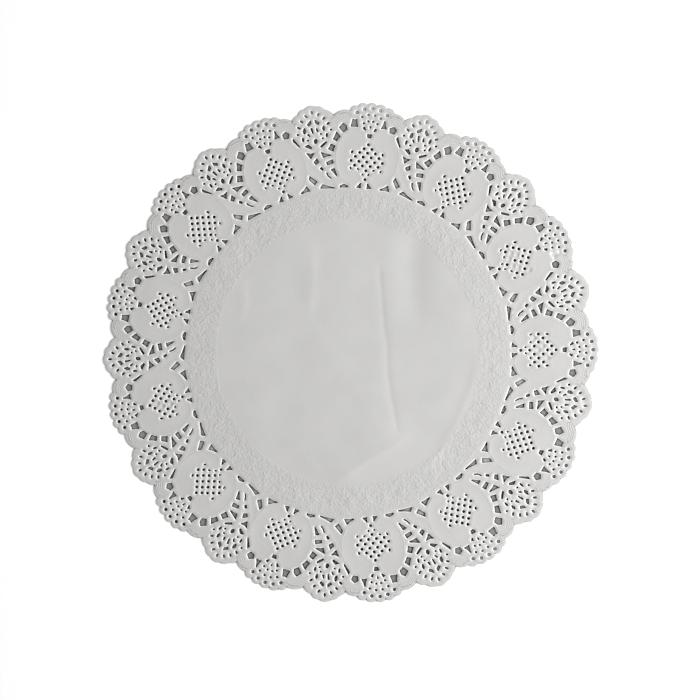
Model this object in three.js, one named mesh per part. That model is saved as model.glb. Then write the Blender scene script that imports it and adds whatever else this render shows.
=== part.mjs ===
// A round paper doily, lying flat and face up: one thin punched sheet.
// Millimetres, +Z up. The origin is the middle of the underside, and the sheet rises from z = 0.
// The lace border is one repeat set thirteen times round the sheet. A repeat holds two motifs,
// a heart, whose middle line lies on +Y in the first repeat, and a cone on its left.
// A place in a motif is x, across its middle line to the right, and y, outward from the
// sheet's middle. Angles are degrees, clockwise from outward as seen from above.
import * as THREE from "three";

// Driving dimensions
const fanReach = 133.35; // radius at the middle picot of each fan: the standard 10 1/2 inch size
const sheetThickness = 2; // the height that the embossed and slightly uneven paper takes up
const repeatCount = 13;
const motifTurn = { heart: 0, cone: -14.4 };
const arcSegments = 6; // straight pieces that stand for one arc of the edge
const paperColour = 0xcfcecb;

// The edge of one repeat, clockwise. Each row is a dip in the edge: its angle from the heart's
// middle line, how far it lies inside the fan's reach, and how far the lobe that follows it
// bulges out of the straight line to the next dip.
const edgeDips = [
  { dip: "left notch", angle: -9.15, inside: 7.05, bulge: 1.7 },
  { dip: "left shoulder to fan", angle: -4.95, inside: 4.65, bulge: 1.45 },
  { dip: "picots one and two", angle: -3.25, inside: 2.15, bulge: 1.45 },
  { dip: "picots two and three", angle: -1.1, inside: 1.4, bulge: 1.42 },
  { dip: "picots three and four", angle: 1.15, inside: 1.4, bulge: 1.42 },
  { dip: "picots four and five", angle: 3.35, inside: 2.35, bulge: 1.45 },
  { dip: "fan to right shoulder", angle: 5.35, inside: 4.05, bulge: 1.15 },
  { dip: "right notch", angle: 8.4, inside: 7.25, bulge: 0.8 },
  { dip: "cone lobes one and two", angle: 10.05, inside: 4.15, bulge: 0.9 },
  { dip: "cone lobes two and three", angle: 11.8, inside: 1.75, bulge: 1.2 },
  { dip: "cone lobes three and four", angle: 14.4, inside: 1.4, bulge: 0.95 },
  { dip: "cone lobes four and five", angle: 16.35, inside: 3.6, bulge: 0.8 },
];

// The larger openings of one repeat. Each is a four-cornered cell round its middle (x, y).
// long is its length along the angle turn, tip its width where that begins and wide its width
// where that ends. slant draws back the right corner of the far end and puts the left one
// forward, dent draws in that end's middle, and peak pushes out the middle of the right side.
const taperedCells = [
  { cell: "fan, left", motif: "heart", x: -8.5, y: 121.6, turn: 178, long: 4.4, wide: 4.2, tip: 2.2 },
  { cell: "fan, right", motif: "heart", x: 7.5, y: 121.7, turn: 182, long: 4.4, wide: 3, tip: 0.7 },
  { cell: "rim, first", motif: "heart", x: -14.25, y: 118.2, turn: -41, long: 4.1, wide: 3.4, tip: 2.9,
    slant: -0.7, peak: 0.8 },
  { cell: "rim, second", motif: "heart", x: -17.2, y: 113.1, turn: 24, long: 3.8, wide: 3.4, tip: 2.6,
    slant: 1.2 },
  { cell: "rim, third", motif: "cone", x: 8.15, y: 108.75, turn: 33, long: 3.3, wide: 2.75, tip: 3.5 },
  { cell: "rim, fourth", motif: "cone", x: 4.7, y: 105.2, turn: -79, long: 5.1, wide: 3.1, tip: 0.5,
    slant: -1.7 },
  { cell: "rim, fifth", motif: "cone", x: 5.9, y: 101.1, turn: 80, long: 3.9, wide: 2.35, tip: 1.9 },
  { cell: "rim, sixth", motif: "cone", x: 7.7, y: 95.5, turn: -24, long: 4.8, wide: 2.4, tip: 0.6,
    slant: 0.4 },
  { cell: "stem, first", motif: "cone", x: -3.8, y: 106.2, turn: 5, long: 3.4, wide: 5.2, tip: 0.5,
    dent: 0.8 },
  { cell: "stem, second", motif: "cone", x: -1.2, y: 102.5, turn: 52, long: 2.7, wide: 2.5, tip: 1.8,
    slant: 0.8 },
  { cell: "ring, slab", motif: "cone", x: -4.65, y: 93, turn: -43, long: 5, wide: 2, tip: 2.6,
    slant: -1.1 },
  { cell: "ring, long wedge", motif: "cone", x: 2.9, y: 88.35, turn: -75, long: 7.4, wide: 2.6, tip: 0.7,
    slant: 1.2 },
  { cell: "ring, short wedge", motif: "cone", x: -9.7, y: 88.1, turn: 64, long: 5, wide: 3.5, tip: 0.7,
    slant: -0.3 },
];
const pentagon = { motif: "heart", x: 12.3, y: 119.1, turn: 15, radius: 2.25, corners: 5 };

// Turns a place (x, y) clockwise about the origin by an angle in degrees.
function turned(x, y, angle) {
  return new THREE.Vector2(x, y).rotateAround(new THREE.Vector2(), -THREE.MathUtils.degToRad(angle));
}

// A corner of a cell, given across and along its own length, in its motif.
function cornerOf(cell, across, along) {
  return turned(across, along, cell.turn).add(new THREE.Vector2(cell.x, cell.y));
}

function taperedCorners(cell) {
  const { long, wide, tip, slant = 0, dent = 0, peak = 0 } = cell;
  const corners = [
    cornerOf(cell, -tip / 2, -long / 2),
    cornerOf(cell, -wide / 2, long / 2 + slant / 2),
    cornerOf(cell, wide / 2, long / 2 - slant / 2),
    cornerOf(cell, tip / 2, -long / 2),
  ];
  if (dent > 0) corners.splice(2, 0, cornerOf(cell, 0, long / 2 - dent));
  if (peak > 0) corners.splice(3, 0, cornerOf(cell, (wide + tip) / 4 + peak, 0));
  return corners;
}

function regularCorners(cell) {
  return Array.from({ length: cell.corners }, (_, corner) => {
    const out = turned(0, cell.radius, (360 / cell.corners) * corner);
    return cornerOf(cell, out.x, out.y);
  });
}

// The lobe from one dip to the next: an arc that bulges outward, without its last point.
function lobePoints(from, to, bulge) {
  const chord = to.clone().sub(from);
  const radius = (chord.lengthSq() / 4 + bulge ** 2) / (2 * bulge);
  const outward = new THREE.Vector2(-chord.y, chord.x).normalize();
  const centre = from.clone().lerp(to, 0.5).addScaledVector(outward, bulge - radius);
  const startAngle = from.clone().sub(centre).angle();
  const endAngle = to.clone().sub(centre).angle();
  const arc = new THREE.EllipseCurve(centre.x, centre.y, radius, radius, startAngle, endAngle, true);
  return arc.getPoints(arcSegments).slice(0, -1);
}

function edgeOutline() {
  const dips = [];
  for (let repeat = 0; repeat < repeatCount; repeat++)
    for (const { angle, inside, bulge } of edgeDips) {
      const place = turned(0, fanReach - inside, angle + (360 / repeatCount) * repeat);
      dips.push({ place, bulge });
    }
  const points = dips.flatMap(({ place, bulge }, index) =>
    lobePoints(place, dips[(index + 1) % dips.length].place, bulge),
  );
  return new THREE.Shape(points.reverse()); // anticlockwise, the opposite way to the openings
}

// The openings of every repeat, each a closed path through its corners.
function punchedOpenings() {
  const cells = taperedCells.map((cell) => ({ motif: cell.motif, corners: taperedCorners(cell) }));
  cells.push({ motif: pentagon.motif, corners: regularCorners(pentagon) });
  const openings = [];
  for (let repeat = 0; repeat < repeatCount; repeat++)
    for (const { motif, corners } of cells) {
      const angle = motifTurn[motif] + (360 / repeatCount) * repeat;
      openings.push(new THREE.Path(corners.map(({ x, y }) => turned(x, y, angle))));
    }
  return openings;
}

function doilySheet() {
  const outline = edgeOutline();
  outline.holes = punchedOpenings();
  const geometry = new THREE.ExtrudeGeometry(outline, {
    depth: sheetThickness,
    bevelEnabled: false,
  });
  const paper = new THREE.MeshStandardMaterial({ color: paperColour, roughness: 0.9, metalness: 0 });
  const sheet = new THREE.Mesh(geometry, paper);
  sheet.name = "doily_sheet";
  return sheet;
}

const doily = new THREE.Group();
doily.add(doilySheet());

export default doily;
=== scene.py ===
import math

import bpy
import numpy
from mathutils import Matrix, Vector
from mathutils.geometry import delaunay_2d_cdt
from mathutils.kdtree import KDTree
from numpy.linalg import norm


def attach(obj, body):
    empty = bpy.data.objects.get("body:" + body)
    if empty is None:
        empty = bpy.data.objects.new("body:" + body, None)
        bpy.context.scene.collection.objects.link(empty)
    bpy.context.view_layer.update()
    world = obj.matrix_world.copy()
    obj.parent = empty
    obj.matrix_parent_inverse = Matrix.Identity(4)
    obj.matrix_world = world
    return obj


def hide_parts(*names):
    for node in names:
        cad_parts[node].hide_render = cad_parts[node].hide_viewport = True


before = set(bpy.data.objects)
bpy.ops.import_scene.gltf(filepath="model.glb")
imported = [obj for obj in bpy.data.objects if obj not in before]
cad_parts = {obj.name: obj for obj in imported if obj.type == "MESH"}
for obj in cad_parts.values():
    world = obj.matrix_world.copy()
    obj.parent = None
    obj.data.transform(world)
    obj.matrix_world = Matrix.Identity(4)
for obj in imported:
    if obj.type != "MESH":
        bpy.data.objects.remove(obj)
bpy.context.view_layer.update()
bpy.ops.object.select_all(action="DESELECT")

# The chart is in millimetres and degrees. A place in a motif is x, to the right of its middle line,
# and y, outward from the sheet's middle. Angles run clockwise from outward, seen from above.
mm = 0.001
tiny = 1e-6  # keeps a length that is divided by from being nothing
doily = {
    "fanReach": 132.8,  # radius at the middle picot of each fan
    "repeats": 13,
    "coneTurn": -14.4,  # from a heart to the cone on its left
    "paper": 0.2,  # thickness of the embossed paper
    "plainReach": 69,  # radius of the plain middle
    "laceStart": 86.8,  # radius where the punched border starts
    "flatSize": (0.264, 0.2652),
    "netArea": 0.050,  # square metres left after the punching
}
repeatAngle = 360 / doily["repeats"]

# The edge of one repeat, clockwise. Each row is a dip: its angle from the heart's middle line, how
# far it lies inside the fan's reach, and how far the lobe that follows bulges out.
edgeDips = {
    "left notch": dict(angle=-9.15, inside=7.05, bulge=1.7),
    "left shoulder to fan": dict(angle=-4.95, inside=4.75, bulge=1.65),
    "picots one and two": dict(angle=-3.25, inside=2.5, bulge=1.8),
    "picots two and three": dict(angle=-1.1, inside=1.75, bulge=1.77),
    "picots three and four": dict(angle=1.15, inside=1.75, bulge=1.77),
    "picots four and five": dict(angle=3.35, inside=2.7, bulge=1.65),
    "fan to right shoulder": dict(angle=5.35, inside=4.2, bulge=1.2),
    "right notch": dict(angle=8.4, inside=7.25, bulge=0.8),
    "cone lobes one and two": dict(angle=10.05, inside=4.15, bulge=0.9),
    "cone lobes two and three": dict(angle=11.8, inside=1.75, bulge=1.2),
    "cone lobes three and four": dict(angle=14.4, inside=1.4, bulge=0.95),
    "cone lobes four and five": dict(angle=16.35, inside=3.6, bulge=0.8),
}

# Cells with corners. long is the length along turn, tip the width where that begins and wide the
# width where that ends. slant draws back the far end's right corner and puts its left one forward,
# dent draws in the far end's middle and notch the near end's, peak pushes out the right side's
# middle, bow pushes both sides' middles to the right, and waist draws both in, or out below 0.
heartCells = {
    "fan, left": dict(x=-8.5, y=121.6, turn=178, long=4.4, wide=4.3, tip=2.5, notch=0.6, waist=0.1),
    "fan, right": dict(x=7.5, y=121.7, turn=182, long=4.5, wide=3.5, tip=0.7, waist=0.3, dent=0.15),
    "rim, first": dict(x=-14.25, y=118.2, turn=-41, long=4.1, wide=3.4, tip=2.9, slant=-0.7, peak=0.8),
    "rim, second": dict(x=-17.2, y=113.1, turn=24, long=4, wide=3.5, tip=2.7, slant=1.2, waist=0.2),
    "long slit": dict(x=16, y=113.1, turn=-22, long=5.7, wide=1.55, tip=0.7, slant=-1.15),
    "goblet": dict(x=0.2, y=115.1, turn=0, long=2.2, wide=3.0, tip=2.0),
    "fan slot, middle": dict(x=0.1, y=119.7, turn=0, long=1.7, wide=1.35, tip=0.4),
    "fan slot, left": dict(x=-2.8, y=118.8, turn=-36, long=2.3, wide=1.85, tip=0.6),
    "fan slot, right": dict(x=2.85, y=118.35, turn=33, long=1.95, wide=1.65, tip=0.8),
    "ring, left triangle": dict(x=-2.4, y=88.8, turn=199, long=3, wide=2.9, tip=0.7, slant=-0.6,
         waist=0.2),
    "ring, right triangle": dict(x=2.2, y=88.8, turn=161, long=3, wide=2.9, tip=0.7, slant=0.6,
         waist=0.2),
    "ring, boat": dict(x=-10.75, y=87.45, turn=-96, long=4.6, wide=1.05, tip=1.15, peak=0.95),
}
coneCells = {
    "rim, third": dict(x=8.15, y=108.75, turn=33, long=3.5, wide=2.9, tip=3.6, waist=0.2),
    "rim, fourth": dict(x=4.7, y=105.2, turn=-79, long=5.1, wide=3.35, tip=0.6, slant=-1.7,
         waist=0.15),
    "rim, fifth": dict(x=5.9, y=101.1, turn=80, long=3.9, wide=2.35, tip=1.9),
    "rim, sixth": dict(x=7.7, y=95.5, turn=-24, long=4.8, wide=2.4, tip=0.6, slant=0.4),
    "stem, first": dict(x=-3.8, y=106.2, turn=5, long=3.4, wide=5.2, tip=0.6, dent=0.6, waist=0.15),
    "stem, second": dict(x=-1.2, y=102.5, turn=52, long=2.8, wide=2.7, tip=2, slant=0.8),
    "stem, third": dict(x=1.15, y=98.4, turn=143, long=2.1, wide=1.35, tip=1.5),
    "stem, curved slit": dict(x=4.35, y=94.3, turn=149, long=4.3, wide=0.75, tip=0.85, bow=0.4),
    "ring, slab": dict(x=-4.65, y=93, turn=-43, long=5, wide=2, tip=2.6, slant=-1.1),
    "ring, long wedge": dict(x=2.9, y=88.35, turn=-75, long=7.4, wide=2.6, tip=0.7, slant=1.2,
         waist=0.12),
    "ring, short wedge": dict(x=-9.7, y=88.1, turn=64, long=5, wide=3.7, tip=0.8, slant=-0.3,
         waist=0.3),
    "top kite, left": dict(x=-2.0, y=123.1, turn=50, long=2.8, wide=1.7, tip=1.65, slant=1.1),
    "top kite, right": dict(x=2.0, y=123.1, turn=-50, long=2.8, wide=1.7, tip=1.65, slant=-1.1),
    "side kite, left": dict(x=-5.2, y=119.6, turn=7, long=3.3, wide=0.6, tip=1, waist=-0.65),
    "side kite, right": dict(x=5.2, y=119.55, turn=6, long=2.9, wide=0.7, tip=0.7, waist=-0.55),
    "wedge, left": dict(x=-1.1, y=119.1, turn=-11, long=3.25, wide=1.3, tip=0.8),
    "wedge, right": dict(x=1.6, y=119.2, turn=-12, long=2.2, wide=0.75, tip=1.4),
    "wedge, far left": dict(x=-3.2, y=117, turn=-33, long=2.1, wide=1.2, tip=0.7),
    "base leaf, left": dict(x=-4, y=110.9, turn=-54, long=3.4, wide=2.2, tip=1.2, slant=1.4),
    "base leaf, right": dict(x=4.05, y=111.1, turn=57, long=4.4, wide=1, tip=1.25, waist=-0.1),
}
pentagon = dict(x=12.3, y=119.1, turn=15, radius=2.25, corners=5)

# Oval holes, across and along their turn.
heartOvals = {
    "net, left end": dict(x=-8.2, y=106.1, turn=15, across=1.3, along=2.0),
    "net, right end": dict(x=8.25, y=105.8, turn=-15, across=1.3, along=2.0),
    "net, falling slot": dict(x=-4.1, y=97.3, turn=-55, across=1.1, along=1.75),
    "net, rising slot": dict(x=4.15, y=97.2, turn=65, across=1.15, along=1.7),
    "net, far left slot": dict(x=-8.1, y=97.5, turn=-30, across=1.1, along=1.85),
    "net, far right slot": dict(x=8, y=96.9, turn=32, across=1.1, along=1.8),
    "net, foot left": dict(x=-1.5, y=94.6, turn=0, across=1.15, along=1.35),
    "net, foot right": dict(x=1.65, y=94.8, turn=36, across=1.1, along=1.6),
}
coneOvals = {
    "low slot, left": dict(x=-6.6, y=115.2, turn=0, across=1.25, along=2.75),
    "low slot, right": dict(x=6.4, y=115.7, turn=10, across=1.25, along=2.75),
    "inner, top right": dict(x=3.3, y=116.8, turn=30, across=1.3, along=1.25),
    "inner, left": dict(x=-4.1, y=114.4, turn=-75, across=1.15, along=1.55),
    "inner, right": dict(x=4, y=114.4, turn=60, across=1.15, along=1.5),
    "eye": dict(x=0, y=113.3, turn=8, across=2.1, along=2.9),
}

# Rows of like holes: the heart's net, the fan about its own middle and the cone's pointed arch.
net = {"middle": 0.1, "pitch": 4.2, "size": 1.75}
# each row's y and how many holes it has
netRows = [(110.6, 1), (108.3, 2), (106.15, 3), (103.85, 4), (101.45, 5), (99.2, 4), (96.8, 1), (92.1, 1)]
fan = {"x": 0.2, "y": 117.3}
fanRows = [
    dict(holes=5, pitch=20, radius=12.6, tilt=0.8, size=1.95),
    dict(holes=4, pitch=22, radius=9.15, tilt=0, size=1.5),
    dict(holes=4, pitch=26, radius=5.75, tilt=-1.5, size=1.4),
]
arch = {"inset": 3.9, "y": 116.4, "radius": 13, "first": 17.6, "pitch": 16.1}
archHoles = [
    dict(across=1.33, along=2.35, turn=0),
    dict(across=1.33, along=2.25, turn=36),
    dict(across=1.33, along=2.25, turn=46),
    dict(across=1.33, along=2.25, turn=55),
    dict(across=1.3, along=1.5, turn=60),
]

# Openings that the punch only marked, by the number of their repeat and their middles.
missedPunches = {
    2: [(-2, 103.85), (-4.1, 101.45), (4.3, 101.45), (-2, 99.2), (2.2, 99.2), (8.25, 105.8), (7.5, 121.2)],
    3: [(4.3, 106.15), (-2, 103.85), (0.1, 101.45), (-6.2, 99.2)],
    9: [(0.1, 106.15), (-2, 103.85), (-2, 99.2)],
}
missedReach = 0.9  # most distance of its middle from the place given
markReach = 1.7  # this far round it the paper has no painted rim highlight,
markAway = 0.6  # as every rim there counts as this far away

# How the rims and the paper between them are meshed.
meshing = {
    "roundness": 0.35,  # length of a corner that is rounded off
    "cornerShare": 0.4,  # most of a side that a corner may take
    "rimStep": 1.6,
    "lobeSteps": 6,
    "ovalStep": 0.62,
    "leastOvalPoints": 7,
    "nearShare": 0.9,  # a point of an offset line may lie this much nearer to another rim
    "edgeZone": 10,  # how far from the fans' reach the sheet's edge may lie
    "laceLap": 1,  # how far inside the lace's start its points begin
    "laceSpacing": 1.2,
    "laceApart": 0.92,
    "laceClear": 0.6,  # from the rims
    "bandSpacing": 1.25,
    "bandClear": 0.7,
    "bandGap": 1.2,  # inside the first ring of the flower band's points, and after the last
    "middleSpacing": 2.3,
    "middleApart": 1.5,
    "creaseStep": 1.6,
    "creaseApart": 0.8,
    "measureStep": 0.15,  # along the paths that distances are measured to
    "mergeReach": 1e-5,  # nearer than this two points are one
    "sharpAngle": 50,  # degrees, from which two faces meet in a sharp edge
}
rimLines = [  # lines of points beside every rim
    dict(offset=0.45, step=0.8, apart=0.5),
    dict(offset=0.95, step=1.0, apart=0.62),
    dict(offset=1.75, step=1.2, apart=0.85),
]


def turned(points, angle):
    # turns places clockwise about the sheet's middle
    a = math.radians(angle)
    turn = [[math.cos(a), -math.sin(a)], [math.sin(a), math.cos(a)]]
    return numpy.asarray(points) @ numpy.array(turn)


def polar(points):
    # radius of each place, and its angle clockwise from +Y
    x, y = points[:, 0], points[:, 1]
    return numpy.hypot(x, y), numpy.degrees(numpy.arctan2(x, y))


def circled(angles):
    # places on a circle of radius 1, by their angles clockwise from +Y
    return numpy.stack([numpy.sin(angles), numpy.cos(angles)], 1)


def placed(points, item):
    # puts an item's own points, across and along its turn, at its place in the motif
    return turned(points, item["turn"]) + (item["x"], item["y"])


def roundedLoop(corners):
    # rounds each corner off by a short curve and divides the long sides
    corners = numpy.asarray(corners, float)
    loop = []
    count = len(corners)

    def cut(side):
        return min(meshing["roundness"], meshing["cornerShare"] * side)

    for i in range(count):
        before, here, after = corners[i - 1], corners[i], corners[(i + 1) % count]
        back = norm(before - here)
        ahead = norm(after - here)
        start = here + (before - here) * cut(back) / back
        end = here + (after - here) * cut(ahead) / ahead
        loop += [start, (start + 2 * here + end) / 4, end]
        side = ahead - 2 * cut(ahead)
        pieces = max(1, round(side / meshing["rimStep"]))
        for piece in range(1, pieces):
            loop.append(end + (after - here) * (side / ahead) * piece / pieces)
    return numpy.array(loop)


def cellLoop(cell):
    long, wide, tip = cell["long"], cell["wide"], cell["tip"]
    slant, bow, waist = cell.get("slant", 0), cell.get("bow", 0), cell.get("waist", 0)
    middle = (wide + tip) / 4 - waist
    corners = [(-tip / 2, -long / 2)]
    if bow or waist:
        corners.append((bow - middle, 0))
    corners.append((-wide / 2, (long + slant) / 2))
    if "dent" in cell:
        corners.append((0, long / 2 - cell["dent"]))
    corners.append((wide / 2, (long - slant) / 2))
    if "peak" in cell or bow or waist:
        corners.append((middle + cell.get("peak", 0) + bow, 0))
    corners.append((tip / 2, -long / 2))
    if "notch" in cell:
        corners.append((0, cell["notch"] - long / 2))
    return placed(roundedLoop(corners), cell)


def regularLoop(cell):
    spokes = numpy.arange(cell["corners"]) * 2 * math.pi / cell["corners"]
    return placed(roundedLoop(cell["radius"] * circled(spokes)), cell)


def ovalLoop(hole):
    girth = math.pi * (hole["across"] + hole["along"]) / 2
    count = max(meshing["leastOvalPoints"], round(girth / meshing["ovalStep"]))
    spokes = numpy.arange(count) * 2 * math.pi / count
    halves = numpy.array([hole["across"], hole["along"]]) / 2
    return placed(halves * circled(spokes), hole)


def roundHole(x, y, size):
    return dict(x=x, y=y, turn=0, across=size, along=size)


def spread(count):
    # so many places, one apart, about 0
    return [i - (count - 1) / 2 for i in range(count)]


def netHoles():
    rows = [(net["middle"] + place * net["pitch"], y) for y, count in netRows for place in spread(count)]
    return [roundHole(x, y, net["size"]) for x, y in rows]


def fanHoles():
    holes = []
    for row in fanRows:
        for place in spread(row["holes"]):
            angle = math.radians(place * row["pitch"] + row["tilt"])
            x = fan["x"] + row["radius"] * math.sin(angle)
            y = fan["y"] + row["radius"] * math.cos(angle)
            holes.append(roundHole(x, y, row["size"]))
    return holes


def archRow():
    # the right half of the pointed arch, and the same again on its left
    holes = []
    for place, row in enumerate(archHoles):
        angle = math.radians(arch["first"] + arch["pitch"] * place)
        x = arch["radius"] * math.sin(angle) - arch["inset"]
        y = arch["y"] + arch["radius"] * math.cos(angle)
        for side in (1, -1) if place else (1,):
            holes.append({**row, "x": side * x, "y": y, "turn": side * row["turn"]})
    return holes


def lobe(start, end, bulge):
    # an arc that bulges outward from one dip to the next, without its last point
    chord = end - start
    radius = (chord @ chord / 4 + bulge**2) / (2 * bulge)
    outward = numpy.array([-chord[1], chord[0]]) / norm(chord)
    centre = (start + end) / 2 + outward * (bulge - radius)
    first = math.atan2(*(start - centre)[::-1])
    last = math.atan2(*(end - centre)[::-1])
    if last > first:
        last -= 2 * math.pi
    angles = numpy.linspace(first, last, meshing["lobeSteps"], endpoint=False)
    return centre + radius * numpy.stack([numpy.cos(angles), numpy.sin(angles)], 1)


def edgeOfRepeat():
    rows = edgeDips.values()
    dips = [turned([(0, doily["fanReach"] - row["inside"])], row["angle"])[0] for row in rows]
    dips.append(turned([dips[0]], repeatAngle)[0])
    lobes = [lobe(dips[i], dips[i + 1], row["bulge"]) for i, row in enumerate(rows)]
    return numpy.concatenate(lobes)


def anticlockwise(loop):
    x, y = loop[:, 0], loop[:, 1]
    area = x @ numpy.roll(y, -1) - y @ numpy.roll(x, -1)
    return loop if area > 0 else loop[::-1]


def loopsOfRepeat():
    # every opening of one repeat, in the sheet's own frame
    netLoops = [ovalLoop(hole) for hole in [*netHoles(), *heartOvals.values()]]
    shoulderLoops = [cellLoop(heartCells["rim, first"]), regularLoop(pentagon)]
    others = [cellLoop(cell) for name, cell in heartCells.items() if name != "rim, first"]
    others += [ovalLoop(hole) for hole in fanHoles()]
    cone = [cellLoop(cell) for cell in coneCells.values()]
    cone += [ovalLoop(hole) for hole in [*coneOvals.values(), *archRow()]]
    others += [turned(loop, doily["coneTurn"]) for loop in cone]
    groups = {"net": netLoops, "shoulder": shoulderLoops, "other": others}
    return {name: [anticlockwise(loop) for loop in loops] for name, loops in groups.items()}


openings = loopsOfRepeat()
repeatLoops = openings["net"] + openings["shoulder"] + openings["other"]
edge = edgeOfRepeat()
print("openings in a repeat:", len(repeatLoops), "rim points:", sum(len(loop) for loop in repeatLoops))


def besideLoops(loops):
    # the loops of this repeat and of those before and after it
    return [turned(loop, repeatAngle * side) for side in (-1, 0, 1) for loop in loops]


def treeOf(paths, closed=True):
    # a search tree of points set closely along some paths
    points = []
    for path in paths:
        ends = numpy.roll(path, -1, axis=0) if closed else path[1:]
        for start, end in zip(path, ends):
            count = max(1, math.ceil(norm(end - start) / meshing["measureStep"]))
            points += [start + (end - start) * i / count for i in range(count)]
    tree = KDTree(len(points))
    for i, point in enumerate(points):
        tree.insert((point[0], point[1], 0), i)
    tree.balance()
    return tree


def distances(tree, points):
    return numpy.array([tree.find((x, y, 0))[2] for x, y in points])


def inside(points, loop):
    found = numpy.zeros(len(points), bool)
    near = ((points >= loop.min(0)) & (points <= loop.max(0))).all(1)
    x, y = points[near, 0][:, None], points[near, 1][:, None]
    x1, y1 = loop[:, 0], loop[:, 1]
    x2, y2 = numpy.roll(x1, -1), numpy.roll(y1, -1)
    crossed = (y1 > y) != (y2 > y)
    rise = numpy.where(y2 == y1, 1, y2 - y1)
    found[near] = (crossed & (x < (x2 - x1) * (y - y1) / rise + x1)).sum(1) % 2 == 1
    return found


def offsetLine(path, offset, step, closed=True):
    # places along a line beside a path, on its right, with arcs round its corners
    ahead = numpy.roll(path, -1, axis=0) - path
    if not closed:
        ahead[-1] = ahead[-2]
    ahead /= norm(ahead, axis=1)[:, None]
    behind = numpy.roll(ahead, 1, axis=0)
    if not closed:
        behind[0] = ahead[0]
    walk = []
    for point, a, b in zip(path, behind, ahead):
        sides = [numpy.array([d[1], -d[0]]) for d in (a, a + b, b)]
        walk += [point + offset * side / max(norm(side), tiny) for side in sides]
    walk = numpy.array(walk + [walk[0]] if closed else walk)
    along = numpy.concatenate([[0], numpy.cumsum(norm(numpy.diff(walk, axis=0), axis=1))])
    count = max(3, round(along[-1] / step))
    places = numpy.arange(count) * along[-1] / count
    return numpy.stack([numpy.interp(places, along, walk[:, i]) for i in (0, 1)], 1)


# Relief of one repeat. The thin lines round a heart and on its shoulders are the material's.
emboss = {
    "cord": 0.2,  # height of the cord that follows every opening
    "cordCrest": 0.5,  # distance of its crest from the rim
    "cordFoot": 1.5,
    "lip": -0.14,  # height of the rim itself
    "bar": 0.1,  # height of the paper between cords where there is no panel
    "edgeShare": 0.3,  # of all this at the sheet's own edge
    "panel": 0.02,
    "ring": 0.1,
    # where each of these begins and where it is whole, as radii or as distances from a line
    "lace": (83.3, 84.8),
    "ringRise": (78, 83),
    "panelInHeart": (0.15, -1.1),
    "panelOffRim": (1.15, 2),
    "rib": (3.1, 1.9),  # the bar along a heart's middle line
    "lattice": (2.3, 1.5),  # the bars of the net
    "leafOffLine": (2, 0.9),
    "leafOffRim": (0.7, 1.4),
    "leafOffHeart": (1, 2),
    # the shoulders, where the paper's material has its lines
    "shoulderStart": 1.3,  # from a heart's outline
    "shoulderReach": 6,  # from the cells of a shoulder
    "shoulderClear": 1.2,  # from the other openings
    "farAway": 9,  # stands for any distance outside the shoulders
}
band = {
    "flowers": 4,  # rosettes in a repeat
    "flowerRadius": 79,
    "petals": 6,
    "petalReach": 2.6,
    "petalSwing": 0.75,
    "petalEdge": (-0.3, 0.5),
    "petalShare": 0.55,  # of the height of the pressed ground
    "eye": (1, 0.4),
    "eyeShare": 0.35,
    "dome": 0.09,
    "fleckScale": 500,  # for each metre
    "ground": (0.36, 0.64),
    "field": (70.5, 86, 1),  # the radii where it starts and ends, and how softly
    "ribs": 393,
    "ribRings": [(70.5, 73.5, 0.5), (84, 86.3, 0.5)],
    "ribShare": 0.16,
}
heartOvalShapes = {
    "left": dict(x=-6.3, y=104.2, across=9.3, along=14.3),
    "right": dict(x=6.8, y=104.0, across=9.4, along=14.3),
}
leafLine = [(-4.6, 101.5), (-3.6, 99), (-2, 96.5), (0, 94), (2.5, 92), (5, 90.6)]


def smooth(low, high, values):
    share = numpy.clip((values - low) / (high - low), 0, 1)
    return share * share * (3 - 2 * share)


def heartDepth(points):
    # signed distance to the heart's outline, made of two ovals: less than nothing inside
    depths = []
    for oval in heartOvalShapes.values():
        across, along = points[:, 0] - oval["x"], points[:, 1] - oval["y"]
        ratio = numpy.sqrt((across / oval["across"]) ** 2 + (along / oval["along"]) ** 2)
        depths.append(numpy.hypot(across, along) * (1 - 1 / numpy.maximum(ratio, tiny)))
    return numpy.minimum(*depths)


rims = besideLoops(repeatLoops)
edges = besideLoops([edge])
rimTree = treeOf(rims)
edgeTree = treeOf(edges, closed=False)
netTree = treeOf(besideLoops(openings["net"]))
shoulderTree = treeOf(besideLoops(openings["shoulder"]))
otherTree = treeOf(besideLoops(openings["other"]))
leafLines = [turned(leafLine, doily["coneTurn"] + repeatAngle * side) for side in (0, 1)]
leafTree = treeOf(leafLines, closed=False)


def rimDistance(points):
    return numpy.minimum(distances(rimTree, points), distances(edgeTree, points))


def cordOf(away):
    # height of the cord, over the bar, at a distance from a rim
    rise = smooth(0, emboss["cordCrest"], away)
    fall = smooth(emboss["cordCrest"], emboss["cordFoot"], away)
    climb = (emboss["cord"] - emboss["lip"]) * rise
    return emboss["lip"] - emboss["bar"] + climb - (emboss["cord"] - emboss["bar"]) * fall


def heartAway(points):
    # distance to the outline of the nearest heart
    sides = [heartDepth(turned(points, repeatAngle * side)) for side in (-1, 0, 1)]
    return numpy.min(sides, axis=0)


def shoulderAway(points):
    # distance to the sheet's edge within the shoulders, and a large one elsewhere
    near = distances(shoulderTree, points) < emboss["shoulderReach"]
    clear = distances(otherTree, points) > emboss["shoulderClear"]
    within = near & clear & (heartAway(points) > emboss["shoulderStart"])
    return numpy.where(within, distances(edgeTree, points), emboss["farAway"])


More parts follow.
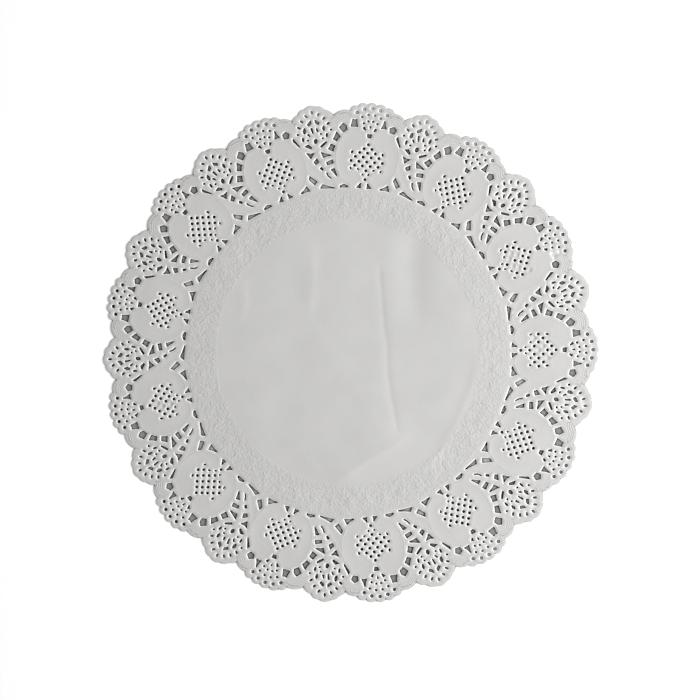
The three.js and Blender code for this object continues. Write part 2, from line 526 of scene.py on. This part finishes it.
def reliefOf(points):
    # height of the face over the sheet's base at places in the first repeat
    rim = distances(rimTree, points)
    radius, _ = polar(points)
    heart = heartAway(points)
    height = emboss["bar"] + cordOf(rim) + emboss["edgeShare"] * cordOf(distances(edgeTree, points))
    panel = smooth(*emboss["panelInHeart"], heart) * smooth(*emboss["panelOffRim"], rim)
    rib = smooth(*emboss["rib"], numpy.abs(points[:, 0] - net["middle"]))
    lattice = smooth(*emboss["lattice"], distances(netTree, points))
    height += (emboss["panel"] - emboss["bar"]) * panel * (1 - numpy.maximum(rib, lattice))
    leaf = smooth(*emboss["leafOffLine"], distances(leafTree, points))
    leaf *= smooth(*emboss["leafOffRim"], rim) * smooth(*emboss["leafOffHeart"], heart)
    height -= emboss["bar"] * leaf
    lace = smooth(*emboss["lace"], radius)
    ring = emboss["ring"] * (1 - lace) * smooth(*emboss["ringRise"], radius)
    return height * lace + ring + domeOf(points)


def domeOf(points):
    # the low domes of the flower band's rosettes
    radius, angle = polar(points)
    pitch = repeatAngle / band["flowers"]
    across = numpy.radians((angle / pitch - numpy.round(angle / pitch)) * pitch) * radius
    away = numpy.hypot(across, radius - band["flowerRadius"])
    return band["dome"] * smooth(band["petalReach"], 0, away)


def hexGrid(spacing, reach):
    rows = int(reach / (spacing * math.sqrt(3) / 2)) + 1
    columns = int(reach / spacing) + 1
    points = []
    for row in range(-rows, rows + 1):
        for column in range(-columns, columns + 1):
            points.append(((column + (row % 2) / 2) * spacing, row * spacing * math.sqrt(3) / 2))
    return numpy.array(points)


class pointSieve:
    # keeps places far enough from all kept before, also where these recur in the repeats beside
    def __init__(self, sides):
        self.sides = sides
        self.kept = []
        self.cells = {}  # places by the square millimetre they lie in

    def add(self, points, apart):
        reach = math.ceil(apart)
        for point in points:
            x, y = map(float, point)
            cx, cy = math.floor(x), math.floor(y)
            crowd = (
                other
                for i in range(cx - reach, cx + reach + 1)
                for j in range(cy - reach, cy + reach + 1)
                for other in self.cells.get((i, j), ())
            )
            if any((x - a) ** 2 + (y - b) ** 2 < apart**2 for a, b in crowd):
                continue
            self.kept.append((x, y))
            for side in self.sides:
                a, b = turned([(x, y)], repeatAngle * side)[0].tolist()
                self.cells.setdefault((math.floor(a), math.floor(b)), []).append((a, b))


def inRepeat(points):
    # which places lie in the first repeat, from the middle of one cone to the next
    _, angle = polar(points)
    return (angle >= -repeatAngle / 2) & (angle < repeatAngle / 2)


def onPaper(points):
    radius, _ = polar(points)
    nearEdge = radius > doily["fanReach"] - meshing["edgeZone"]
    clear = ~nearEdge | inside(points, numpy.concatenate(edges + [[(0, 0)]]))
    for loop in rims:
        clear &= ~inside(points, loop)
    return clear


def paperPoints():
    # places between the rims of one repeat, beside the rims first and then over the rest
    sieve = pointSieve(sides=(-1, 0, 1))
    for line in rimLines:
        for paths, closed in ((rims, True), (edges, False)):
            walks = [offsetLine(path, line["offset"], line["step"], closed) for path in paths]
            points = numpy.concatenate(walks)
            points = points[inRepeat(points)]
            points = points[rimDistance(points) >= meshing["nearShare"] * line["offset"]]
            sieve.add(points[onPaper(points)], line["apart"])
    grid = hexGrid(meshing["laceSpacing"], doily["fanReach"])
    grid = grid[(polar(grid)[0] > doily["laceStart"] - meshing["laceLap"]) & inRepeat(grid)]
    grid = grid[(rimDistance(grid) > meshing["laceClear"]) & onPaper(grid)]
    sieve.add(grid, meshing["laceApart"])
    return numpy.array(sieve.kept)


def bandPoints():
    # rings of places over the flower band of one repeat
    rings = []
    first, last = doily["plainReach"], doily["laceStart"] - meshing["bandGap"]
    count = round((last - first) / meshing["bandSpacing"])
    for i, radius in enumerate(numpy.linspace(first, last, count + 1)):
        pieces = round(2 * math.pi * radius / doily["repeats"] / meshing["bandSpacing"])
        angles = numpy.radians(((numpy.arange(pieces) + (i % 2) / 2) / pieces - 0.5) * repeatAngle)
        rings.append(radius * circled(angles))
    points = numpy.concatenate(rings)
    return points[rimDistance(points) > meshing["bandClear"]]


innerPoints = numpy.concatenate([paperPoints(), bandPoints()])
print("points between the rims of a repeat:", len(innerPoints))

# How the sheet lies: a very shallow dome that rests on its edge, with soft creases in its middle.
lie = {
    "middle": 0.5,  # height of the plain middle over the ring where the lace starts
    "middleFade": (95, 64),  # the radii between which it grows
    "rise": 0.12,
    "riseGrow": (86, 112),
    "droop": 0.47,
    "droopStart": 111,
    "swell": 0.1,  # slow waves round the border
    "swellStart": 55,
    "middleSwell": 0.06,  # slow waves over the plain middle
    "middleSwellFade": (95, 60),
    "lowest": 0.02,  # height of the sheet's lowest place over the floor
}
# where the edge droops further, down to the floor
edgeLows = [
    dict(angle=4, width=34, drop=0.35),
    dict(angle=139, width=16, drop=0.35),
    dict(angle=200, width=13, drop=0.15),
]
borderWaves = [dict(count=2, phase=40, share=0.6), dict(count=3, phase=200, share=0.5),
               dict(count=5, phase=95, share=0.3)]
middleWaves = [dict(length=46, turn=20, phase=10), dict(length=33, turn=95, phase=130),
               dict(length=27, turn=-40, phase=250), dict(length=61, turn=60, phase=320)]
# Each crease runs down the image: its depth under the sheet, less than nothing for a ridge, how far
# it spreads on its left and on its right, in what length it fades out at its ends, and whether its
# lowest or highest line is sharp.
creases = {
    "main fold": dict(depth=0.19, left=1.5, right=1.2, fade=6,
         places=[(12, 50), (16, 29.4), (18.4, 16.4), (21, 6), (23.2, -9.6), (26.6, -22.5), (32.2, -41)]),
    "low ridge": dict(depth=-1.0, left=24, right=8, fade=24, sharp=True,
         places=[(44, -31), (39.3, -37), (31.1, -45.3), (19.1, -53.5), (-1.2, -70.7), (-9, -79)]),
    "upper trough": dict(depth=0.75, left=8, right=8, fade=16,
         places=[(28.2, 75), (28.8, 66.8), (29.7, 57.3), (30.8, 46.8), (32.4, 31.1), (33.2, 17.9)]),
    "soft ridge": dict(depth=-0.22, left=6, right=2.6, fade=12,
         places=[(-25.5, 58), (-22.8, 42.6), (-22.3, 33.6), (-22.6, 25.6), (-21.2, 12)]),
    "left mark": dict(depth=-0.16, left=4, right=1.8, fade=9,
         places=[(-59.5, 34), (-57.2, 20.9), (-59.5, 7)]),
    "right ledge": dict(depth=-0.22, left=1.5, right=1.9, fade=12,
         places=[(69.6, 10), (69, -5), (66.4, -15.6), (61.1, -32), (54.6, -45.9), (45, -60)]),
}
creaseLines = (0, 1, -1, 2.1, -2.1)  # how far from a narrow or sharp crease its lines of points lie
narrowCrease = 3


def besidePath(points, path, fade):
    # distance of each place from a path, its side, and a share that fades out at the path's ends
    best = numpy.full(len(points), math.inf)
    side, along = numpy.zeros((2, len(points)))
    walked = 0
    for start, end in zip(path[:-1], path[1:]):
        start, end = numpy.array(start, float), numpy.array(end, float)
        way = end - start
        length = norm(way)
        share = numpy.clip((points - start) @ way / length**2, 0, 1)
        away = points - start - share[:, None] * way
        distance = numpy.hypot(away[:, 0], away[:, 1])
        nearer = distance < best
        best[nearer] = distance[nearer]
        side[nearer] = (way[0] * away[:, 1] - way[1] * away[:, 0])[nearer]
        along[nearer] = (walked + share * length)[nearer]
        walked += length
    return best, side, smooth(0, fade, along) * smooth(walked, walked - fade, along)


def lieOf(points):
    radius, angle = polar(points)
    height = lie["rise"] * smooth(*lie["riseGrow"], radius)
    height += lie["middle"] * smooth(*lie["middleFade"], radius)
    outer = numpy.clip((radius - lie["droopStart"]) / (doily["fanReach"] - lie["droopStart"]), 0, None)
    height -= lie["droop"] * outer
    for low in edgeLows:
        away = (angle - low["angle"] + 180) % 360 - 180
        height -= low["drop"] * outer * numpy.exp(-((away / low["width"]) ** 2))
    grown = smooth(lie["swellStart"], doily["fanReach"], radius)
    for wave in borderWaves:
        swing = numpy.cos(numpy.radians(wave["count"] * angle + wave["phase"]))
        height += lie["swell"] * wave["share"] * swing * grown
    for wave in middleWaves:
        way = numpy.radians(wave["turn"])
        along = points[:, 0] * numpy.sin(way) + points[:, 1] * numpy.cos(way)
        swing = numpy.cos(along * 2 * math.pi / wave["length"] + numpy.radians(wave["phase"]))
        height += lie["middleSwell"] * swing * smooth(*lie["middleSwellFade"], radius)
    for crease in creases.values():
        distance, side, share = besidePath(points, crease["places"], crease["fade"])
        width = numpy.where(side > 0, crease["right"], crease["left"])
        power = 1 if "sharp" in crease else 2
        height -= crease["depth"] * share * numpy.exp(-((distance / width) ** power))
    return height


def middlePoints():
    # places over the plain middle, closer together along its creases
    sieve = pointSieve(sides=(0,))
    for crease in creases.values():
        if "sharp" not in crease and min(crease["left"], crease["right"]) > narrowCrease:
            continue
        path = numpy.array(crease["places"], float)
        for offset in creaseLines:
            walk = offsetLine(path, offset, meshing["creaseStep"], closed=False)
            sieve.add(walk, meshing["creaseApart"])
    reach = doily["plainReach"] - meshing["bandGap"]
    grid = hexGrid(meshing["middleSpacing"], doily["plainReach"])
    sieve.add(grid[polar(grid)[0] < reach], meshing["middleApart"])
    points = numpy.array(sieve.kept)
    return points[polar(points)[0] < reach]


paperLook = {
    "colour": (0.61, 0.605, 0.592, 1),
    "deepTint": (0.59, 0.585, 0.572, 1),
    # painted highlight: paler paper along the rim of every opening
    "rimHighlight": (0.92, 0.915, 0.895, 1),
    "rimHighlightReach": (0.55, 0.2),  # mm from a rim to where its painted highlight begins and is brightest
    "specular": 0.2,
    "roughness": 0.85,
    "roughnessSwing": 0.08,
    "fibreScale": 900,  # for each metre
    "fibreDepth": 0.00005,
    "tintScale": 70,
    "tint": (0.3, 0.7),
    "fleckDepth": 0.00012,
    "lineDepth": 0.00006,
}
lineLook = {
    "heart": (0.475, 1.025, 0.275),  # mm outside a heart's outline, and how softly its line ends
    "heartShare": 0.85,  # of the depth of the shoulders' lines
    "shoulder": (0.7, 4.3, 0.4),  # mm inside the sheet's edge
    "pitch": 1.1,
    "unevenScale": 260,  # of the patches where the shoulders' lines grow faint
    "uneven": (0.25, 0.5),
}


def measured(places):
    # places with their relief and how far they lie from rims, hearts and the shoulders' edge
    away = [distances(rimTree, places), heartAway(places), shoulderAway(places)]
    return places, reliefOf(places), numpy.stack(away, 1)


def layOut():
    # every point of the sheet, the loops that lead through them and which of these have paper inside
    layers, loops = [], []
    total = 0

    def lay(piece, repeat=0):
        nonlocal total
        places, heights, away = piece
        layers.append((turned(places, repeatAngle * repeat), heights, away))
        total += len(places)
        return list(range(total - len(places), total))

    edgePiece, innerPiece = measured(edge), measured(innerPoints)
    rimPieces = [measured(loop) for loop in repeatLoops]
    outline = []
    for repeat in range(doily["repeats"]):
        outline += lay(edgePiece, repeat)
    loops.append(outline[::-1])
    uncut = {0}  # the first loop is the sheet's outline
    for repeat in range(doily["repeats"]):
        for piece in rimPieces:
            for place in missedPunches.get(repeat, ()):
                if numpy.hypot(*(piece[0].mean(0) - place)) < missedReach:
                    uncut.add(len(loops))
            loops.append(lay(piece, repeat))
        lay(innerPiece, repeat)
    middle = middlePoints()
    lay((middle, numpy.zeros(len(middle)), numpy.full((len(middle), 3), emboss["farAway"])))
    return [numpy.concatenate(column) for column in zip(*layers)], loops, uncut


def addDoily():
    # joins the points of the sheet in triangles and gives it its two faces and its walls
    (places, relief, distant), loops, uncut = layOut()
    vertices, _, triangles, originals, _, owners = delaunay_2d_cdt(
        [Vector(place) for place in places.tolist()], [], loops, 0, meshing["mergeReach"], True
    )
    kept = [t for t, owner in zip(triangles, owners) if 0 in owner and uncut.issuperset(owner)]
    kept = numpy.array(kept)
    print("points of the sheet:", len(vertices), "and triangles of one face:", len(kept))

    flat = numpy.array([tuple(vertex) for vertex in vertices])
    known = numpy.array([origin[0] if origin else 0 for origin in originals])
    low = lieOf(flat) + relief[known]
    low -= low.min() - lie["lowest"]
    count = len(flat)
    bottom = numpy.column_stack([flat, low])
    top = numpy.column_stack([flat, low + doily["paper"]])
    walked = {(int(a), int(b)) for t in kept for a, b in zip(t, numpy.roll(t, -1))}
    border = sorted((a, b) for a, b in walked if (b, a) not in walked)
    walls = [(a, a + count, b + count, b) for a, b in border]
    allFaces = kept.tolist() + (kept[:, ::-1] + count).tolist() + walls
    mesh = bpy.data.meshes.new("doily")
    mesh.from_pydata((numpy.concatenate([top, bottom]) * mm).tolist(), [], allFaces)
    mesh.validate()
    away = distant[known]
    for repeat, marks in missedPunches.items():
        for mark in turned(marks, repeatAngle * repeat):
            away[numpy.hypot(*(flat - mark).T) < markReach, 0] = markAway
    away = numpy.tile(away, (2, 1))
    for column, name in enumerate(("rim", "heart", "shoulder")):
        pressed = mesh.attributes.new(name, "FLOAT", "POINT")
        pressed.data.foreach_set("value", away[:, column].astype(numpy.float32))
    sheet = bpy.data.objects.new("doily", mesh)
    bpy.context.collection.objects.link(sheet)
    sheet.select_set(True)
    bpy.context.view_layer.objects.active = sheet
    bpy.ops.object.shade_smooth_by_angle(angle=math.radians(meshing["sharpAngle"]))
    bpy.ops.object.select_all(action="DESELECT")
    print("triangles of the doily:", 2 * len(kept) + 2 * len(walls))
    return sheet


# Paper, floor and light
# the floor's own pale colour, and the painted shade below the sheet
floorTones = {
    "open": 0.95,
    "underShade": 0.28,  # painted shade on the floor below the sheet's border, seen through its openings
    "within": 0.57,  # the same painted shade, lighter, nearer to the middle
    "closeShade": 0.02,  # darker painted shade where the sheet also covers it closely
    "edge": 0.3,  # painted shade below the outermost holes
    "touched": 0.5,  # the same painted shade, lighter, where the sheet's edge lies on the floor
    "lifted": 0.04,  # and darker where it stands a little off it
}
floorLook = {
    "size": 8,
    "roughness": 0.9,
    "specular": 0.1,
    "within": (0.093, 0.122),  # the radii between which the inner painted shade passes into the outer
    "edge": (0.124, 0.126),
    "touched": (0.085, 0.11),  # from where to where, outward on y, the painted shade of that name grows
    "lifted": (-0.05, -0.085),  # the same on x
    "coverReach": 0.006,  # how near the paper must be to shade a place
    "coverSamples": 8,
    "closeShade": (0.46, 0.86),  # how open the places are between which the close painted shade fades out
    "clear": (0.45, 0.85),  # the same for the painted contact shade beside the sheet
    "underEnd": 0.1247,  # radius of the painted shade below the sheet, without its fans and cones
    "blend": 0.0003,
    "glow": 0.22,  # light of its own beside the sheet
}
# the round parts of each repeat that reach beyond that radius
edgeParts = {
    "fan": dict(turn=0, middle=117.3, reach=13.85),
    "cone": dict(turn=doily["coneTurn"], middle=116.4, reach=13.4),
}


def feed(tree, node, inputs):
    # gives inputs of a node their numbers and colours, or the outputs of other nodes
    for name, value in inputs.items():
        if isinstance(value, bpy.types.NodeSocket):
            tree.links.new(value, node.inputs[name])
        else:
            node.inputs[name].default_value = value


def addNode(tree, kind, inputs=(), **settings):
    node = tree.nodes.new(kind)
    for name, value in settings.items():
        setattr(node, name, value)
    feed(tree, node, dict(inputs))
    return node


def newMaterial(name):
    material = bpy.data.materials.new(name)
    material.use_nodes = True
    return material, material.node_tree, material.node_tree.nodes["Principled BSDF"]


def groupTree(name, inputs, outputs):
    # an empty node group with named sockets, whose outputs are numbers
    tree = bpy.data.node_groups.new(name, "ShaderNodeTree")
    for socket, kind in inputs.items():
        tree.interface.new_socket(socket, in_out="INPUT", socket_type="NodeSocket" + kind)
    for socket in outputs:
        tree.interface.new_socket(socket, in_out="OUTPUT", socket_type="NodeSocketFloat")
    return tree, tree.nodes.new("NodeGroupInput"), tree.nodes.new("NodeGroupOutput")


def mathNode(tree, operation, *values):
    return addNode(tree, "ShaderNodeMath", dict(enumerate(values)), operation=operation).outputs[0]


def plus(tree, first, second):
    return mathNode(tree, "ADD", first, second)


def minus(tree, first, second):
    return mathNode(tree, "SUBTRACT", first, second)


def times(tree, first, second):
    return mathNode(tree, "MULTIPLY", first, second)


def lengthOf(tree, x, y):
    return mathNode(tree, "SQRT", plus(tree, times(tree, x, x), times(tree, y, y)))


def splitPlace(tree, place):
    split = addNode(tree, "ShaderNodeSeparateXYZ", {"Vector": place})
    return split.outputs["X"], split.outputs["Y"]


def noise(tree, place, scale, **others):
    # noise of so many patches for each metre, with its other inputs by their names
    inputs = {"Vector": place, "Scale": scale, **others}
    return addNode(tree, "ShaderNodeTexNoise", inputs).outputs["Fac"]


def ramp(tree, value, low, high):
    # rises smoothly from 0 to 1 between two values
    inputs = {"Value": value, "From Min": low, "From Max": high}
    return addNode(tree, "ShaderNodeMapRange", inputs, interpolation_type="SMOOTHSTEP").outputs["Result"]


def between(tree, value, low, high, blend):
    # 1 between two values and 0 outside them
    start = ramp(tree, value, low - blend, low + blend)
    return minus(tree, start, ramp(tree, value, high - blend, high + blend))


def toneMix(tree, low, high, share):
    inputs = {"A": low, "B": high, "Factor": share}
    return addNode(tree, "ShaderNodeMix", inputs, data_type="RGBA").outputs["Result"]


def fibreGroup():
    # soft unevenness of felted paper: a fine height and a slow change of tint
    tree, start, end = groupTree("paper fibre", {"Place": "Vector"}, ["Height", "Tint"])
    place = start.outputs["Place"]
    fine = noise(tree, place, paperLook["fibreScale"], Detail=4)
    slow = noise(tree, place, paperLook["tintScale"], Detail=5)
    feed(tree, end, {"Height": fine, "Tint": slow})
    return tree


def bandGroup():
    # the flower band's pressing: rosettes on a flecked ground, with faint ribs inside and outside
    tree, start, end = groupTree("flower band", {"Place": "Vector"}, ["Height"])
    place = start.outputs["Place"]
    x, y = splitPlace(tree, place)
    radius = times(tree, lengthOf(tree, x, y), 1 / mm)
    angle = mathNode(tree, "ARCTAN2", x, y)
    flowers = band["flowers"] * doily["repeats"]
    turn = times(tree, angle, flowers / (2 * math.pi))
    share = minus(tree, turn, mathNode(tree, "ROUND", turn))
    across = times(tree, share, 2 * math.pi * band["flowerRadius"] / flowers)
    outward = minus(tree, radius, band["flowerRadius"])
    away = lengthOf(tree, across, outward)
    spoke = mathNode(tree, "ARCTAN2", across, outward)
    petals = mathNode(tree, "COSINE", times(tree, spoke, band["petals"]))
    middle = band["petalReach"] - band["petalSwing"] / 2
    reach = mathNode(tree, "MULTIPLY_ADD", petals, band["petalSwing"], middle)
    blossom = times(tree, ramp(tree, minus(tree, reach, away), *band["petalEdge"]), band["petalShare"])
    eye = times(tree, ramp(tree, away, *band["eye"]), band["eyeShare"])
    fleck = noise(tree, place, band["fleckScale"], Detail=3, Roughness=0.6, Distortion=0.8)
    ground = ramp(tree, fleck, *band["ground"])
    pressed = plus(tree, ground, plus(tree, blossom, eye))
    pressed = times(tree, between(tree, radius, *band["field"]), pressed)
    ribs = mathNode(tree, "SINE", times(tree, angle, band["ribs"]))
    inner, outer = (between(tree, radius, *ring) for ring in band["ribRings"])
    ribbed = times(tree, plus(tree, inner, outer), times(tree, ribs, ground))
    ribbed = times(tree, ribbed, band["ribShare"])
    feed(tree, end, {"Height": plus(tree, pressed, ribbed)})
    return tree


def lineGroup():
    # thin pressed lines: one round each heart and several round the cells of its shoulders
    inputs = {"Place": "Vector", "Heart": "Float", "Shoulder": "Float"}
    tree, start, end = groupTree("pressed lines", inputs, ["Height"])
    shoulder = start.outputs["Shoulder"]
    uneven = noise(tree, start.outputs["Place"], lineLook["unevenScale"])
    outline = between(tree, start.outputs["Heart"], *lineLook["heart"])
    wave = mathNode(tree, "COSINE", times(tree, shoulder, 2 * math.pi / lineLook["pitch"]))
    arcs = times(tree, wave, between(tree, shoulder, *lineLook["shoulder"]))
    arcs = times(tree, arcs, ramp(tree, uneven, *lineLook["uneven"]))
    feed(tree, end, {"Height": plus(tree, times(tree, outline, lineLook["heartShare"]), arcs)})
    return tree


def paperMaterial():
    material, tree, shader = newMaterial("paper")
    place = addNode(tree, "ShaderNodeTexCoord").outputs["Object"]
    away = {}
    for name in ("rim", "heart", "shoulder"):
        away[name] = addNode(tree, "ShaderNodeAttribute", attribute_name=name).outputs["Fac"]
    fibre = addNode(tree, "ShaderNodeGroup", {"Place": place}, node_tree=fibreGroup())
    flowers = addNode(tree, "ShaderNodeGroup", {"Place": place}, node_tree=bandGroup())
    inputs = {"Place": place, "Heart": away["heart"], "Shoulder": away["shoulder"]}
    lines = addNode(tree, "ShaderNodeGroup", inputs, node_tree=lineGroup())
    tint = ramp(tree, fibre.outputs["Tint"], *paperLook["tint"])
    body = toneMix(tree, paperLook["deepTint"], paperLook["colour"], tint)
    # painted highlight along the rim of every opening
    rim = ramp(tree, away["rim"], *paperLook["rimHighlightReach"])
    inputs = {
        "Value": fibre.outputs["Height"],
        "To Min": paperLook["roughness"] - paperLook["roughnessSwing"],
        "To Max": paperLook["roughness"] + paperLook["roughnessSwing"],
    }
    rough = addNode(tree, "ShaderNodeMapRange", inputs).outputs["Result"]
    # each relief is laid over the one before
    bump = {}
    for source, depth in ((fibre, "fibreDepth"), (flowers, "fleckDepth"), (lines, "lineDepth")):
        bump |= {"Height": source.outputs["Height"], "Distance": paperLook[depth]}
        bump["Normal"] = addNode(tree, "ShaderNodeBump", bump).outputs["Normal"]
    paper = toneMix(tree, body, paperLook["rimHighlight"], rim)
    feed(tree, shader, {"Base Color": paper, "Roughness": rough, "Normal": bump["Normal"]})
    feed(tree, shader, {"Specular IOR Level": paperLook["specular"]})
    return material


def awayFrom(tree, radius, angle, part):
    # distance to the middle of a round part of every repeat, less the part's own reach
    pitch = 2 * math.pi / doily["repeats"]
    turn = minus(tree, angle, math.radians(part["turn"]))
    whole = mathNode(tree, "ROUND", mathNode(tree, "DIVIDE", turn, pitch))
    turn = minus(tree, turn, times(tree, whole, pitch))
    across = times(tree, radius, mathNode(tree, "SINE", turn))
    outward = times(tree, radius, mathNode(tree, "COSINE", turn))
    outward = minus(tree, outward, part["middle"] * mm)
    return minus(tree, lengthOf(tree, across, outward), part["reach"] * mm)


def floorMaterial():
    # white beside the sheet, with a painted contact shade at its edge, and below its border a painted grey
    # shade that deepens under the closest paper
    material, tree, shader = newMaterial("pale floor with painted shade")
    feed(tree, shader, {"Roughness": floorLook["roughness"], "Specular IOR Level": floorLook["specular"]})
    # ambient occlusion finds where the paper shades the floor, for the painted shade
    reach = {"Distance": floorLook["coverReach"]}
    cover = addNode(tree, "ShaderNodeAmbientOcclusion", reach, samples=floorLook["coverSamples"])
    openness = cover.outputs["AO"]
    x, y = splitPlace(tree, addNode(tree, "ShaderNodeTexCoord").outputs["Object"])
    radius, angle = lengthOf(tree, x, y), mathNode(tree, "ARCTAN2", x, y)
    tone = {name: (value, value, value, 1) for name, value in floorTones.items()}
    # painted shade below the sheet: lighter in the middle, and set by where the edge lies on the floor or
    # stands off it
    edgeTone = toneMix(tree, tone["edge"], tone["touched"], ramp(tree, y, *floorLook["touched"]))
    edgeTone = toneMix(tree, edgeTone, tone["lifted"], ramp(tree, x, *floorLook["lifted"]))
    underShade = toneMix(tree, tone["within"], tone["underShade"], ramp(tree, radius, *floorLook["within"]))
    underShade = toneMix(tree, underShade, edgeTone, ramp(tree, radius, *floorLook["edge"]))
    blend = floorLook["blend"]
    beyond = ramp(tree, radius, floorLook["underEnd"] - blend, floorLook["underEnd"] + blend)
    for part in edgeParts.values():
        beyond = times(tree, beyond, ramp(tree, awayFrom(tree, radius, angle, part), -blend, blend))
    # painted contact shade on the floor beside the sheet's edge, where the floor is less open
    clear = ramp(tree, openness, *floorLook["clear"])
    # painted shade below the sheet, darkest where the paper covers the floor closely
    below = toneMix(tree, tone["closeShade"], underShade, ramp(tree, openness, *floorLook["closeShade"]))
    around = toneMix(tree, tone["underShade"], tone["open"], clear)
    glow = times(tree, times(tree, clear, beyond), floorLook["glow"])
    feed(tree, shader, {"Base Color": toneMix(tree, below, around, beyond), "Emission Strength": glow})
    return material


doilySheet = addDoily()
doilySheet.data.materials.append(paperMaterial())
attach(doilySheet, "root")
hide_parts("doily_sheet")

bpy.ops.mesh.primitive_plane_add(size=floorLook["size"], location=(0, 0, 0))
floor = bpy.context.object
floor.name = "floor"
floor.data.materials.append(floorMaterial())
print("the paper and the floor have their materials")

view = {
    "imageRight": -5.93,  # degrees that the image's sides are turned from the sheet's
    "aim": (1.74, 1.82, 2.4),  # mm, the place at the middle of the image
    "tilt": 8.89,  # degrees from straight above
    "lean": 3.4,  # degrees from the image's right, anticlockwise, to where the camera is tilted
    "distance": 1402.6,
    "lens": 136.52,
    "sensor": 36,
}
studio = {
    "keyHeight": 36,  # degrees over the floor, on the image's right
    "keyDistance": 1.4,
    "keySize": 0.8,
    "keyPower": 25.1,
    "fill": 0.3,
    "backdrop": 0.85,
}


def imageAxes():
    # the image's right and up directions on the floor, and straight up
    a = math.radians(-view["imageRight"])
    right = Vector((math.cos(a), math.sin(a), 0))
    up = Vector((-math.sin(a), math.cos(a), 0))
    return right, up, Vector((0, 0, 1))


def addCamera():
    right, up, above = imageAxes()
    tilt, lean = math.radians(view["tilt"]), math.radians(view["lean"])
    way = right * math.cos(lean) + up * math.sin(lean)
    back = way * math.sin(tilt) + above * math.cos(tilt)
    swing = Matrix.Rotation(tilt, 3, above.cross(way))
    data = bpy.data.cameras.new("camera")
    data.lens = view["lens"]
    data.sensor_width = view["sensor"]
    camera = bpy.data.objects.new("camera", data)
    bpy.context.collection.objects.link(camera)
    axes = Matrix((swing @ right, swing @ up, back)).transposed().to_4x4()
    place = Vector(view["aim"]) + back * view["distance"]
    camera.matrix_world = Matrix.Translation(place * mm) @ axes
    bpy.context.scene.camera = camera


def addLights():
    right, _, above = imageAxes()
    height = math.radians(studio["keyHeight"])
    way = right * math.cos(height) + above * math.sin(height)
    bpy.ops.object.light_add(type="AREA", location=way * studio["keyDistance"])
    key = bpy.context.object
    key.rotation_euler = way.to_track_quat("Z", "Y").to_euler()
    key.data.shape = "DISK"
    key.data.size = studio["keySize"]
    key.data.energy = studio["keyPower"]
    world = bpy.data.worlds.new("room")
    bpy.context.scene.world = world
    world.use_nodes = True
    tree = world.node_tree
    seen = addNode(tree, "ShaderNodeLightPath").outputs["Is Camera Ray"]
    inputs = {"Value": seen, "To Min": studio["fill"], "To Max": studio["backdrop"]}
    strength = addNode(tree, "ShaderNodeMapRange", inputs).outputs["Result"]
    feed(tree, tree.nodes["Background"], {"Color": (1, 1, 1, 1), "Strength": strength})


addCamera()
addLights()
bpy.context.scene.view_settings.view_transform = "Standard"
print("camera and lights are set")
